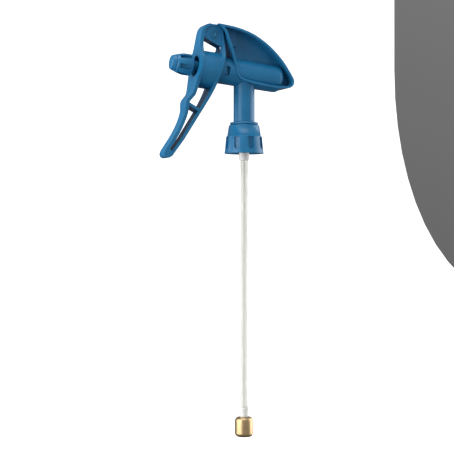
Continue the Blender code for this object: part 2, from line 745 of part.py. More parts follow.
def make_nozzle(material, rubber):
    """The screw cap with its grip recesses, and the washer that it carries."""
    bore = ROD_R + RUN
    inside = ROD_FRONT + 1.9
    washer_low = ROD_FRONT + GAP
    ring("nozzle_seal", bore - GAP, 1.0, washer_low, inside - GAP, HEAD, rubber, SMALL_ROUND)
    slope = NOZZLE_R - NOZZLE_TIP_R
    long = NOZZLE_FRONT - NOZZLE_REAR
    side = [
        (NOZZLE_TIP_R - 1.1, NOZZLE_FRONT),
        (NOZZLE_TIP_R - 0.3, NOZZLE_FRONT - 0.4),
        (NOZZLE_TIP_R + 0.2, NOZZLE_FRONT - 1.2),
        (NOZZLE_R - 0.62 * slope, NOZZLE_FRONT - 0.2 * long),
        (NOZZLE_R - 0.26 * slope, NOZZLE_FRONT - 0.4 * long),
        (NOZZLE_R, NOZZLE_FRONT - 0.62 * long),
        (NOZZLE_R, NOZZLE_REAR + 0.6),
        (NOZZLE_R - 0.6, NOZZLE_REAR),
        (bore, NOZZLE_REAR),
        (bore, inside),
        (ORIFICE_R, inside),
        (ORIFICE_R, NOZZLE_FRONT - 0.6),
        (1.6, NOZZLE_FRONT),
    ]
    cap = turned("nozzle_cap", side, HEAD, material, 36)
    for index in range(GRIP_COUNT):
        turn = HEAD @ Matrix.Rotation(math.radians(-110.0 + index * 360.0 / GRIP_COUNT), 4, "Z")
        start = turn @ Matrix.Translation((NOZZLE_R * MM, 0.0, (NOZZLE_REAR + 1.8) * MM))
        lean = start @ Matrix.Rotation(math.radians(-9.0), 4, "Y")
        outline_end = 0.55 * long
        grip = recess(f"grip_{index}", GRIP_WIDTH, 0.0, outline_end, -GRIP_DEPTH, lean)
        shape_with(cap, grip)


def make_dip_tube(clear, white, brass):
    """The tube that hangs from the socket, with the filter sleeve and the brass weight on its end."""
    count = 16
    curve = bpy.data.curves.new("dip_tube", "CURVE")
    curve.dimensions = "3D"
    curve.bevel_depth = TUBE_R * MM
    curve.bevel_resolution = 3
    curve.use_fill_caps = True
    spline = curve.splines.new("POLY")
    spline.points.add(count - 1)
    for index, point in enumerate(spline.points):
        height = TUBE_TOP - TUBE_LENGTH * index / (count - 1)
        point.co = (0.0, 0.0, height * MM, 1.0)
    link(bpy.data.objects.new("dip_tube", curve), WORLD, clear)

    sleeve_top = TUBE_BOTTOM - GAP
    sleeve_low = sleeve_top - SLEEVE_LENGTH
    weight_top = sleeve_low - GAP
    weight_low = weight_top - WEIGHT_LENGTH
    filter_low = weight_low + 1.0
    turned(
        "intake_filter",
        [
            (SLEEVE_R - 0.4, sleeve_top),
            (SLEEVE_R, sleeve_top - 0.8),
            (SLEEVE_R, sleeve_low),
            (FILTER_STEM_R, sleeve_low),
            (FILTER_STEM_R, filter_low),
            (1.3, filter_low),
            (1.3, sleeve_top),
        ],
        WORLD,
        white,
        24,
    )
    hole = FILTER_STEM_R + GAP
    rim = WEIGHT_R - WEIGHT_ROUND
    turned(
        "brass_weight",
        [
            *arc((rim, weight_top - WEIGHT_ROUND), WEIGHT_ROUND, 90.0, 0.0, 4),
            *arc((rim, weight_low + WEIGHT_ROUND), WEIGHT_ROUND, 0.0, -90.0, 4),
            (hole + 0.8, weight_low),
            (hole, weight_low + 0.8),
            (hole, weight_top - 2.0),
            (SLEEVE_R + 0.4, weight_top),
        ],
        WORLD,
        brass,
    )


def main():
    """Builds every piece."""
    clear_scene()
    blue = finish("blue_polypropylene", (0.03, 0.16, 0.38), 0.38)
    white = finish("natural_polyethylene", (0.82, 0.82, 0.8), 0.4)
    rubber = finish("nitrile_rubber", (0.03, 0.03, 0.03), 0.7)
    steel = finish("stainless_steel", (0.6, 0.6, 0.6), 0.25, 1.0)
    brass = finish("brass", (0.7, 0.5, 0.2), 0.25, 1.0)
    make_housing(blue)
    make_trigger(blue)
    rod("pivot_pin", PIN_R, -TRIGGER_HALF + 0.2, TRIGGER_HALF - 0.2, AT_PIVOT @ SIDE_VIEW, blue, 24)
    make_nut(blue)
    make_inlet(white, rubber, steel)
    bore, wiper_low = make_pump(white, rubber, steel)
    make_plunger(blue, white, rubber, steel, bore, wiper_low)
    make_nozzle(blue, rubber)
    make_dip_tube(white, white, brass)


main()
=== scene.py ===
"""Looks of a trigger sprayer head with a weighted dip tube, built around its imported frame.

Sizes are in millimetres and the helpers turn them into metres. The barrel, pump and nozzle share one tilted
axis: in their frame a place is given by s, the distance towards the nozzle from the point above the neck.
"""

from __future__ import annotations

import json
import logging
import math
from dataclasses import dataclass
from enum import Enum
from typing import Any, Iterable, Optional, Sequence

import bpy
from mathutils import Matrix, Vector

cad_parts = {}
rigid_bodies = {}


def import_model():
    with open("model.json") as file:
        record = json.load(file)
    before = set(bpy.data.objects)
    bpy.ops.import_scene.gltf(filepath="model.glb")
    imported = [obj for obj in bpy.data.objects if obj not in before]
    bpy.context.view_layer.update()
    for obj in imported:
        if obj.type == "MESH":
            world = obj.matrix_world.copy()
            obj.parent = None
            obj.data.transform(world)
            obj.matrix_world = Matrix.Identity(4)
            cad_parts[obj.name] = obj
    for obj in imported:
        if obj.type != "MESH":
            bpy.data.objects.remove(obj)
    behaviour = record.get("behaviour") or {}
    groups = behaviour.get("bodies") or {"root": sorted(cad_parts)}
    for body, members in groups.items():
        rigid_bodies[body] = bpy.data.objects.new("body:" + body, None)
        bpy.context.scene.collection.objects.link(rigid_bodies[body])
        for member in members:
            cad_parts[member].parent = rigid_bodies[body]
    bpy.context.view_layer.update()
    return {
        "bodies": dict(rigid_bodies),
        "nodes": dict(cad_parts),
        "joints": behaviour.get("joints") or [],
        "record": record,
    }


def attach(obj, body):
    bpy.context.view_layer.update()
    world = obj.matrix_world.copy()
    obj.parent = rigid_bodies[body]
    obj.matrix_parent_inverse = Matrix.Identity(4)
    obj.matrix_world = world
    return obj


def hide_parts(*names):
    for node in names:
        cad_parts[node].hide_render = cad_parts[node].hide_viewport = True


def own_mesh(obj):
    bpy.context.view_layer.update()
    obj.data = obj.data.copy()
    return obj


LOG = logging.getLogger("trigger_sprayer")

MM = 0.001
HEAD_TILT = math.radians(6.5)
AXIS_HEIGHT = 53.7
PIVOT_FORWARD = 34.0
PIVOT_RISE = 29.0
FORWARD = Vector((-math.cos(HEAD_TILT), 0.0, math.sin(HEAD_TILT)))
RISE = Vector((math.sin(HEAD_TILT), 0.0, math.cos(HEAD_TILT)))
PIVOT = Vector((0.0, 0.0, AXIS_HEIGHT)) + PIVOT_FORWARD * FORWARD + PIVOT_RISE * RISE
WORLD = Matrix.Identity(4)
HEAD = Matrix.Translation((0.0, 0.0, AXIS_HEIGHT * MM)) @ Matrix.Rotation(HEAD_TILT - math.pi / 2, 4, "Y")
AT_PIVOT = Matrix.Translation(PIVOT * MM) @ Matrix.Rotation(math.pi / 2, 4, "X")

Profile = Sequence[tuple[float, float]]

WELD = 1e-6  # in metres: points of a new piece that are nearer than this become one
CAD_WELD = 5e-6  # the same for a CAD node, whose corners are stored less exactly
FLAT = math.radians(1.0)  # faces that differ by less than this become one flat face
FOOT_ROUND = 0.49  # the rounding of a recess's foot, as a share of the recess's width


class Body(Enum):
    """The bodies of the frame that new pieces ride on."""

    HEAD = "body"
    NUT = "nut"
    LEVER = "lever"
    PLUNGER = "plunger"
    NOZZLE = "nozzle"


class Slot(Enum):
    """The record's material slots."""

    BLUE = "blue_polypropylene"
    NATURAL = "natural_polyethylene"
    CLEAR = "clear_polyethylene"
    RUBBER = "nitrile_rubber"
    STEEL = "stainless_steel"
    BRASS = "brass"


# ---------------------------------------------------------------------------------------------- materials


def linear(code: str) -> tuple[float, float, float, float]:
    """Turns an sRGB hex colour to linear.

    Args:
        code: The colour as #rrggbb.

    Returns:
        Linear red, green, blue and an alpha of one.
    """
    channels = [int(code[i : i + 2], 16) / 255 for i in (1, 3, 5)]
    red, green, blue = (c / 12.92 if c <= 0.04045 else ((c + 0.055) / 1.055) ** 2.4 for c in channels)
    return (red, green, blue, 1.0)


def add_node(
    tree: bpy.types.NodeTree,
    kind: str,
    settings: Optional[dict[str, Any]] = None,
    inputs: Optional[dict[str, Any]] = None,
) -> bpy.types.Node:
    """Adds a node with its settings, and sets or links its inputs.

    Args:
        tree: The node tree that gets the node.
        kind: The node's type.
        settings: Attributes of the node.
        inputs: Socket names with a value, or with the output that feeds them.

    Returns:
        The new node.
    """
    node = tree.nodes.new(kind)
    for key, value in (settings or {}).items():
        setattr(node, key, value)
    for key, value in (inputs or {}).items():
        if isinstance(value, bpy.types.NodeSocket):
            tree.links.new(value, node.inputs[key])
        else:
            node.inputs[key].default_value = value
    return node


@dataclass(frozen=True)
class Finish:
    """What a surface is made of and how it was made.

    Two tones drift into each other over a distance, the gloss varies on a finer one, and a fine relief bends
    the light.
    """

    title: str
    tone: str
    second_tone: str
    tone_mm: float
    rough: tuple[float, float]
    rough_mm: float
    relief_mm: float
    relief_depth_mm: float
    constants: tuple[tuple[str, float], ...] = ()
    along: float = 1.0  # under one, the patterns are drawn out along the Z axis

    def relief(self, tree: bpy.types.NodeTree, place: bpy.types.NodeSocket) -> bpy.types.NodeSocket:
        """The height of the fine relief.

        Args:
            tree: The material's nodes.
            place: Object coordinates.

        Returns:
            The height's socket, from nought to one.
        """
        grain = add_node(
            tree,
            "ShaderNodeTexNoise",
            inputs={"Vector": place, "Scale": 1 / (self.relief_mm * MM), "Detail": 3.0, "Roughness": 0.6},
        )
        return grain.outputs["Fac"]

    def build(self) -> bpy.types.Material:
        """Makes the material.

        Returns:
            The material, with all its patterns on Object coordinates.
        """
        made = bpy.data.materials.new(self.title)
        made.use_nodes = True
        tree = made.node_tree
        shader = tree.nodes["Principled BSDF"]
        corner = add_node(tree, "ShaderNodeTexCoord").outputs["Object"]
        drawn = {"Vector": corner, "Scale": (1.0, 1.0, self.along)}
        place = add_node(tree, "ShaderNodeMapping", inputs=drawn).outputs["Vector"]
        drift = add_node(
            tree,
            "ShaderNodeTexNoise",
            inputs={"Vector": place, "Scale": 1 / (self.tone_mm * MM), "Detail": 4.0, "Roughness": 0.55},
        )
        ramp = add_node(tree, "ShaderNodeValToRGB", inputs={"Fac": drift.outputs["Fac"]})
        ramp.color_ramp.elements[0].position = 0.35
        ramp.color_ramp.elements[1].position = 0.65
        ramp.color_ramp.elements[0].color = linear(self.tone)
        ramp.color_ramp.elements[1].color = linear(self.second_tone)
        gloss = add_node(
            tree,
            "ShaderNodeTexNoise",
            inputs={"Vector": place, "Scale": 1 / (self.rough_mm * MM), "Detail": 5.0, "Roughness": 0.6},
        )
        rough = add_node(
            tree,
            "ShaderNodeMapRange",
            inputs={
                "Value": gloss.outputs["Fac"],
                "From Min": 0.3,
                "From Max": 0.7,
                "To Min": self.rough[0],
                "To Max": self.rough[1],
            },
        )
        bump = add_node(
            tree,
            "ShaderNodeBump",
            inputs={
                "Strength": 1.0,
                "Distance": self.relief_depth_mm * MM,
                "Height": self.relief(tree, place),
            },
        )
        tree.links.new(ramp.outputs["Color"], shader.inputs["Base Color"])
        tree.links.new(rough.outputs["Result"], shader.inputs["Roughness"])
        tree.links.new(bump.outputs["Normal"], shader.inputs["Normal"])
        for socket, value in self.constants:
            shader.inputs[socket].default_value = value
        return made


@dataclass(frozen=True)
class TurnedMetal(Finish):
    """Metal cut on a lathe, with the fine rings that the tool leaves round the Z axis."""

    feed_mm: float = 0.8

    def relief(self, tree: bpy.types.NodeTree, place: bpy.types.NodeSocket) -> bpy.types.NodeSocket:
        """The height of the tool's rings, a little uneven.

        Args:
            tree: The material's nodes.
            place: Object coordinates.

        Returns:
            The height's socket.
        """
        rings = add_node(
            tree,
            "ShaderNodeTexWave",
            settings={"wave_type": "BANDS", "bands_direction": "Z", "wave_profile": "SIN"},
            inputs={
                "Vector": place,
                "Scale": 0.314 / (self.feed_mm * MM),
                "Distortion": 0.6,
                "Detail": 2.0,
                "Detail Scale": 0.4,
            },
        )
        return rings.outputs["Fac"]


# Injection-moulded polypropylene: a satin skin with a faint cloudy tone, softly glossy where it is curved.
BLUE_POLYPROPYLENE = Finish(
    title="moulded_blue_polypropylene",
    tone="#176895",
    second_tone="#1c709f",
    tone_mm=14.0,
    rough=(0.28, 0.38),
    rough_mm=5.0,
    relief_mm=0.9,  # the mould's spark-eroded grain is finer, and is drawn as coarse as it needs to show
    relief_depth_mm=0.012,
    constants=(("IOR", 1.49), ("Specular IOR Level", 0.4)),
)
# The same resin, cut and polished where the lever rubs on its pin: smoother and a little darker.
WORN_POLYPROPYLENE = Finish(
    title="rubbed_blue_polypropylene",
    tone="#155c80",
    second_tone="#18688f",
    tone_mm=4.0,
    rough=(0.26, 0.36),
    rough_mm=1.5,
    relief_mm=0.7,
    relief_depth_mm=0.01,
    constants=(("IOR", 1.49),),
)
# Natural polyethylene, moulded without pigment: milky and waxy, and a little light passes through.
NATURAL_POLYETHYLENE = Finish(
    title="natural_polyethylene",
    tone="#f1f1ee",
    second_tone="#e7e8e5",
    tone_mm=6.0,
    rough=(0.3, 0.42),
    rough_mm=2.0,
    relief_mm=0.8,
    relief_depth_mm=0.01,
    constants=(("IOR", 1.51), ("Transmission Weight", 0.12)),
)
# Extruded low-density polyethylene tube: milky and half clear, with the draw lines of the die along it.
CLEAR_POLYETHYLENE = Finish(
    title="extruded_clear_polyethylene",
    tone="#e7e7e3",
    second_tone="#eeeeea",
    tone_mm=2.4,
    rough=(0.35, 0.42),
    rough_mm=3.0,
    relief_mm=1.6,  # the die's lines are finer, and are drawn as coarse as they need to show
    relief_depth_mm=0.002,
    constants=(("IOR", 1.51), ("Transmission Weight", 0.7), ("Specular IOR Level", 0.25)),
    along=0.02,
)
# Moulded nitrile rubber: near black, and dull with a fine bloom.
NITRILE_RUBBER = Finish(
    title="nitrile_rubber",
    tone="#1b1b1c",
    second_tone="#232324",
    tone_mm=3.0,
    rough=(0.6, 0.75),
    rough_mm=1.0,
    relief_mm=0.5,
    relief_depth_mm=0.02,
)
# Drawn stainless spring wire and ground balls: bright, with a faint drawn grain.
STAINLESS_STEEL = Finish(
    title="stainless_steel",
    tone="#b9bbbd",
    second_tone="#c6c8c9",
    tone_mm=2.0,
    rough=(0.2, 0.32),
    rough_mm=0.8,
    relief_mm=0.6,
    relief_depth_mm=0.004,
    constants=(("Metallic", 1.0),),
)
# Free-cutting brass, turned and tumbled: warm yellow, polished, with soft tool rings.
BRASS = TurnedMetal(
    title="turned_brass",
    tone="#b99e74",
    second_tone="#c3a983",
    tone_mm=5.0,
    rough=(0.34, 0.4),
    rough_mm=1.6,
    relief_mm=1.0,
    relief_depth_mm=0.004,
    constants=(("Metallic", 1.0),),
    feed_mm=1.1,
)


class Palette:
    """The finishes, each built once."""

    def __init__(self) -> None:
        """Starts with none built."""
        self._built: dict[str, bpy.types.Material] = {}

    def of(self, finish: Finish) -> bpy.types.Material:
        """The material of a finish.

        Args:
            finish: The finish.

        Returns:
            Its material, made when it is first asked for.
        """
        if finish.title not in self._built:
            self._built[finish.title] = finish.build()
        return self._built[finish.title]


# ---------------------------------------------------------------------------------------------- modelling


def deselect() -> None:
    """Leaves nothing selected."""
    bpy.ops.object.select_all(action="DESELECT")


def make_active(obj: bpy.types.Object) -> None:
    """Selects one object alone and makes it active.

    Args:
        obj: The object.
    """
    deselect()
    obj.select_set(True)
    bpy.context.view_layer.objects.active = obj


def settle(obj: bpy.types.Object, place: Matrix) -> bpy.types.Object:
    """Moves an object to a place and leaves that place in its mesh.

    Args:
        obj: An object made about the origin.
        place: Where it goes.

    Returns:
        The same object, at the origin and unturned.
    """
    make_active(obj)
    obj.matrix_world = place @ obj.matrix_world
    bpy.ops.object.transform_apply(location=True, rotation=True, scale=True)
    return obj


def apply_modifier(obj: bpy.types.Object, kind: str, **settings: Any) -> None:
    """Adds a modifier with its settings and applies it.

    Args:
        obj: The mesh object.
        kind: The modifier's type.
        **settings: Its attributes.
    """
    make_active(obj)
    modifier = obj.modifiers.new(kind.title(), kind)
    for key, value in settings.items():
        setattr(modifier, key, value)
    bpy.ops.object.modifier_apply(modifier=modifier.name)


def soften(obj: bpy.types.Object, width: float, angle: float = 32.0, segments: int = 3) -> bpy.types.Object:
    """Rounds an object's sharp edges and shades it smooth.

    Args:
        obj: The mesh object.
        width: How far the rounding reaches from an edge, in millimetres.
        angle: The least angle of a sharp edge, in degrees.
        segments: The faces across a rounding.

    Returns:
        The same object.
    """
    make_active(obj)
    bpy.ops.object.shade_smooth_by_angle(angle=math.radians(angle))
    apply_modifier(
        obj,
        "BEVEL",
        width=width * MM,
        segments=segments,
        limit_method="ANGLE",
        angle_limit=math.radians(angle),
        miter_outer="MITER_ARC",
        use_clamp_overlap=True,
        harden_normals=True,
    )
    return obj


def lathe(name: str, profile: Profile, steps: int = 96, place: Matrix = WORLD) -> bpy.types.Object:
    """Extrudes a point along a profile and spins it about the Z axis.

    Args:
        name: The object's name.
        profile: Radius and height of each point, round a closed outline, in millimetres.
        steps: The spin's steps.
        place: Where the turned piece goes.

    Returns:
        A closed turned mesh.
    """
    deselect()
    bpy.ops.mesh.primitive_plane_add(size=MM, location=(0.0, 0.0, 0.0))
    obj = bpy.context.object
    obj.name = name
    bpy.ops.object.mode_set(mode="EDIT")
    bpy.ops.mesh.select_all(action="SELECT")
    bpy.ops.mesh.merge(type="CENTER")
    points = [Vector((radius * MM, 0.0, height * MM)) for radius, height in profile]
    bpy.ops.transform.translate(value=points[0])
    for start, end in zip(points, [*points[1:], points[0]]):
        bpy.ops.mesh.extrude_region_move(TRANSFORM_OT_translate={"value": end - start})
    bpy.ops.mesh.select_all(action="SELECT")
    bpy.ops.mesh.spin(steps=steps, angle=math.tau, center=(0.0, 0.0, 0.0), axis=(0.0, 0.0, 1.0))
    bpy.ops.mesh.select_all(action="SELECT")
    bpy.ops.mesh.remove_doubles(threshold=WELD)
    bpy.ops.mesh.delete_loose()
    bpy.ops.mesh.select_all(action="SELECT")
    bpy.ops.mesh.normals_make_consistent(inside=False)
    bpy.ops.object.mode_set(mode="OBJECT")
    return settle(obj, place)


def quarter(centre: tuple[float, float], radius: float, start: float, end: float, steps: int = 5) -> Profile:
    """Points on an arc of a profile.

    Args:
        centre: The arc's centre.
        radius: Its radius.
        start: The angle of the first point, in degrees.
        end: The angle of the last point.
        steps: How many lines the arc has.

    Returns:
        The points, the first and last included.
    """
    turns = [math.radians(start + (end - start) * i / steps) for i in range(steps + 1)]
    return [(centre[0] + radius * math.cos(a), centre[1] + radius * math.sin(a)) for a in turns]


def round_foot_cutter(width: float, low: float, high: float, near: float, far: float) -> bpy.types.Object:
    """A cutter for an upright recess with a round foot, on the +X side of the Z axis.

    Args:
        width: The recess's width.
        low: The height of its foot.
        high: The height of its top.
        near: Where its floor is, along X.
        far: How far out it reaches.

    Returns:
        The cutter.
    """
    deselect()
    bpy.ops.mesh.primitive_cube_add(size=1.0)
    obj = bpy.context.object
    obj.scale = ((far - near) * MM, width * MM, (high - low) * MM)
    obj.location = ((far + near) / 2 * MM, 0.0, (high + low) / 2 * MM)
    bpy.ops.object.transform_apply(location=True, rotation=True, scale=True)
    middle = (high + low) / 2 * MM
    bpy.ops.object.mode_set(mode="EDIT")
    bpy.ops.mesh.select_mode(type="EDGE")
    bpy.ops.mesh.select_all(action="DESELECT")
    bpy.ops.object.mode_set(mode="OBJECT")
    for edge in obj.data.edges:
        first, second = (obj.data.vertices[i].co for i in edge.vertices)
        edge.select = abs(first.x - second.x) > WELD and first.z < middle and second.z < middle
    bpy.ops.object.mode_set(mode="EDIT")
    bpy.ops.mesh.bevel(offset=FOOT_ROUND * width * MM, segments=8, affect="EDGES")
    bpy.ops.mesh.select_mode(type="VERT")
    bpy.ops.object.mode_set(mode="OBJECT")
    return obj


def ring_of(cutter: bpy.types.Object, count: int, start: float) -> bpy.types.Object:
    """Copies a cutter evenly round the Z axis and joins the copies.

    Args:
        cutter: The first one, which is used up.
        count: How many there are.
        start: The angle of the first, in degrees.

    Returns:
        One object with all of them.
    """
    copies = []
    for index in range(count):
        copy = cutter.copy()
        copy.data = cutter.data.copy()
        bpy.context.scene.collection.objects.link(copy)
        turn = math.radians(start + index * 360.0 / count)
        copies.append(settle(copy, Matrix.Rotation(turn, 4, "Z")))
    bpy.data.objects.remove(cutter, do_unlink=True)
    deselect()
    for copy in copies:
        copy.select_set(True)
    bpy.context.view_layer.objects.active = copies[0]
    bpy.ops.object.join()
    return copies[0]


def carve(obj: bpy.types.Object, tool: bpy.types.Object) -> None:
    """Cuts a tool out of an object and removes the tool.

    Args:
        obj: The piece.
        tool: What is cut out of it.
    """
    apply_modifier(obj, "BOOLEAN", operation="DIFFERENCE", object=tool, solver="EXACT")
    bpy.data.objects.remove(tool, do_unlink=True)


def wind(obj: bpy.types.Object, turns: int, pitch: float, steps: int, smooth: bool) -> None:
    """Winds a flat outline about the Z axis into a closed helix.

    Args:
        obj: A flat mesh with the outline's face, beside the axis.
        turns: How many turns it makes.
        pitch: The rise of one turn, in millimetres.
        steps: The steps of one turn.
        smooth: Whether the helix is shaded smooth.
    """
    sides = len(obj.data.vertices)
    make_active(obj)
    bpy.ops.object.mode_set(mode="EDIT")
    bpy.ops.mesh.select_all(action="SELECT")
    bpy.ops.mesh.delete(type="ONLY_FACE")
    bpy.ops.object.mode_set(mode="OBJECT")
    apply_modifier(
        obj,
        "SCREW",
        angle=math.tau,
        steps=steps,
        render_steps=steps,
        iterations=turns,
        screw_offset=pitch * MM,
        use_smooth_shade=smooth,
        use_merge_vertices=False,
    )
    bpy.ops.object.mode_set(mode="EDIT")
    bpy.ops.mesh.select_all(action="SELECT")
    bpy.ops.mesh.fill_holes(sides=sides)
    bpy.ops.mesh.select_all(action="SELECT")
    bpy.ops.mesh.normals_make_consistent(inside=False)
    bpy.ops.object.mode_set(mode="OBJECT")


@dataclass(frozen=True)
class Coil:
    """A compression spring on the head's axis."""

    name: str
    radius: float
    wire_r: float
    low: float
    high: float
    turns: int
    joint: str
    held_at: float  # the end that stays still when the joint moves
    keep: float  # the length left at the joint's limit, as a share
    wire_sides: int = 10
    steps: int = 28

    def build(self) -> bpy.types.Object:
        """Winds the wire.

        Returns:
            The spring.
        """
        deselect()
        bpy.ops.mesh.primitive_circle_add(
            vertices=self.wire_sides,
            radius=self.wire_r * MM,
            fill_type="NGON",
            location=(self.radius * MM, 0.0, (self.low + self.wire_r) * MM),
            rotation=(math.pi / 2, 0.0, 0.0),
        )
        obj = bpy.context.object
        obj.name = self.name
        bpy.ops.object.transform_apply(location=True, rotation=True, scale=True)
        rise = self.high - self.low - 2 * self.wire_r
        wind(obj, self.turns, rise / self.turns, self.steps, True)
        return settle(obj, HEAD)

    def shorten(self, spring: bpy.types.Object) -> None:
        """Gives the spring a mesh of its own.

        Args:
            spring: The spring, after it is tied to the frame.
        """
        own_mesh(spring)


class Assembly:
    """What every sub-assembly shares: it dresses pieces and ties them to the frame."""

    def __init__(self, frame: dict[str, Any], palette: Palette) -> None:
        """Keeps the frame and the finishes.

        Args:
            palette: The finishes.
        """
        self.frame = frame
        self.palette = palette

    def copy_of(self, node: str, name: str) -> bpy.types.Object:
        """A merged copy of a CAD node, ready for finer work.

        Args:
            node: The CAD node.
            name: The copy's name.

        Returns:
            The copy, with its flat faces whole again.
        """
        source = self.frame["nodes"][node]
        make_active(source)
        bpy.ops.object.duplicate()
        obj = bpy.context.object
        obj.name = name
        obj.parent = None
        obj.matrix_world = source.matrix_world
        for key in [key for key in obj.keys() if key.startswith("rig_")]:
            del obj[key]
        make_active(obj)
        bpy.ops.object.mode_set(mode="EDIT")
        bpy.ops.mesh.select_all(action="SELECT")
        bpy.ops.mesh.customdata_custom_splitnormals_clear()
        bpy.ops.mesh.remove_doubles(threshold=CAD_WELD)
        bpy.ops.mesh.dissolve_limited(angle_limit=FLAT)
        bpy.ops.object.mode_set(mode="OBJECT")
        return obj

    def dress(
        self, obj: bpy.types.Object, finish: Finish, slot: Slot, body: Body, nodes: Iterable[str] = ()
    ) -> bpy.types.Object:
        """Gives a piece its finish and ties it to the frame.

        Args:
            obj: The piece.
            finish: Its finish.
            slot: The record's slot for it; not used.
            body: What it rides on.
            nodes: The CAD nodes that it replaces.

        Returns:
            The piece.
        """
        obj.data.materials.clear()
        obj.data.materials.append(self.palette.of(finish))
        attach(obj, body.value)
        if nodes:
            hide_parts(*nodes)
        LOG.info("%s: %d faces, rides on %s", obj.name, len(obj.data.polygons), body.value)
        return obj

    def paint(self, node: str, finish: Finish) -> None:
        """Puts a finish on a CAD node that stays.

        Args:
            node: The CAD node.
            finish: Its finish.
        """
        obj = self.frame["nodes"][node]
        for material_slot in obj.material_slots:
            material_slot.material = self.palette.of(finish)
        LOG.info("%s keeps its shape and is finished as %s", node, finish.title)


# --------------------------------------------------------------------------------------------- sub-assemblies


@dataclass
class Moulding:
    """The barrel, neck and teardrop shroud in one moulding."""

    kit: Assembly
    edge: float = 0.7

    def build(self) -> None:
        """Refines the moulding and rounds its edges as a mould does."""
        housing = self.kit.copy_of("body_housing", "housing_shell")
        soften(housing, self.edge)
        self.kit.dress(housing, BLUE_POLYPROPYLENE, Slot.BLUE, Body.HEAD, ["body_housing"])


@dataclass
class Lever:
    """The trigger with its hood, and the pin that it swings on."""

    kit: Assembly
    edge: float = 0.7
    pin_r: float = 2.7
    pin_half: float = 7.3
    dish_depth: float = 0.35
    dish_rim: float = 1.0
    dish_slope: float = 0.3

    def build(self) -> None:
        """Makes the trigger and its pin."""
        trigger = self.kit.copy_of("trigger", "trigger_lever")
        soften(trigger, self.edge)
        self.kit.dress(trigger, BLUE_POLYPROPYLENE, Slot.BLUE, Body.LEVER, ["trigger"])
        self.kit.dress(self.make_pin(), WORN_POLYPROPYLENE, Slot.BLUE, Body.HEAD, ["pivot_pin"])

    def make_pin(self) -> bpy.types.Object:
        """The pin, with a shallow dish in each end.

        Returns:
            The pin, across the head at the pivot.
        """
        half, radius = self.pin_half, self.pin_r
        dish = radius - self.dish_rim
        profile = [
            (0.0, half - self.dish_depth),
            (dish - self.dish_slope, half - self.dish_depth),
            (dish, half),
            (radius, half),
            (radius, -half),
            (dish, -half),
            (dish - self.dish_slope, -half + self.dish_depth),
            (0.0, -half + self.dish_depth),
        ]
        return soften(lathe("hinge_pin", profile, 48, AT_PIVOT), 0.25, 30.0, 2)


@dataclass
class ClosureNut:
    """The nut with its grip pockets and inner thread."""

    kit: Assembly
    bottom: float = -16.5
    top: float = 8.6
    mouth_r: float = 17.3
    step_r: float = 15.8
    step: float = -1.2
    cone_r: float = 14.9
    top_r: float = 13.5
    top_round: float = 1.0
    step_round: float = 0.7
    flare: float = 0.5
    flare_height: float = 4.0
    lead_in: float = 0.6
    chamfer: float = 0.3
    lip_hole: float = 9.7
    shelf: float = 4.5
    room: float = 12.9
    room_slope: float = 1.4
    pockets: int = 8
    pocket_turn: float = 272.5
    pocket_width: float = 5.2
    pocket_depth: float = 1.3
    pocket_low: float = -12.8
    pocket_high: float = -2.0
    thread_r: float = 13.9
    thread_start: float = 2.0
    thread_sink: float = 0.4
    thread_height: float = 1.1
    thread_root: float = 1.0
    thread_crest: float = 0.3
    thread_turns: int = 2
    thread_pitch: float = 4.2

    def build(self) -> None:
        """Turns the nut, cuts its pockets and adds the thread."""
        top_centre = (self.top_r - self.top_round, self.top - self.top_round)
        step_centre = (self.step_r - self.step_round, self.step - self.step_round)
        profile = [
            *quarter(top_centre, self.top_round, 90.0, 10.0),
            (self.cone_r, self.step + 0.1),
            (self.cone_r, self.step),
            (self.step_r - self.step_round, self.step),
            *quarter(step_centre, self.step_round, 75.0, 10.0, 3),
            (self.mouth_r - self.flare, self.bottom + self.flare_height),
            (self.mouth_r, self.bottom + self.chamfer),
            (self.mouth_r - self.chamfer, self.bottom),
            (self.thread_r + self.lead_in, self.bottom),
            (self.thread_r, self.bottom + self.lead_in),
            (self.thread_r, self.step - self.room_slope),
            (self.room, self.step),
            (self.room, self.shelf),
            (self.lip_hole, self.shelf),
            (self.lip_hole, self.top - self.chamfer),
            (self.lip_hole + self.chamfer, self.top),
        ]
        nut = lathe("screw_nut", profile, 128)
        floor = self.step_r - self.pocket_depth
        outside = floor + 6.0
        cutter = round_foot_cutter(self.pocket_width, self.pocket_low, self.pocket_high, floor, outside)
        carve(nut, ring_of(cutter, self.pockets, self.pocket_turn))
        soften(nut, self.chamfer, 40.0)
        self.add_thread(nut)
        self.kit.dress(nut, BLUE_POLYPROPYLENE, Slot.BLUE, Body.NUT, ["closure_nut"])

    def add_thread(self, nut: bpy.types.Object) -> None:
        """Winds the thread's ridge inside the skirt and joins it to the nut.

        Args:
            nut: The turned nut.
        """
        low = self.bottom + self.thread_start
        sunk = self.thread_r + self.thread_sink
        crest = self.thread_r - self.thread_height
        section = [
            (sunk, low - self.thread_root),
            (crest, low - self.thread_crest),
            (sunk, low + self.thread_root),
            (crest, low + self.thread_crest),
        ]
        deselect()
        bpy.ops.mesh.primitive_plane_add(size=MM)
        ridge = bpy.context.object
        for vertex, (radius, height) in zip(ridge.data.vertices, section):
            vertex.co = (radius * MM, 0.0, height * MM)
        wind(ridge, self.thread_turns, self.thread_pitch, 64, False)
        deselect()
        ridge.select_set(True)
        nut.select_set(True)
        bpy.context.view_layer.objects.active = nut
        bpy.ops.object.join()


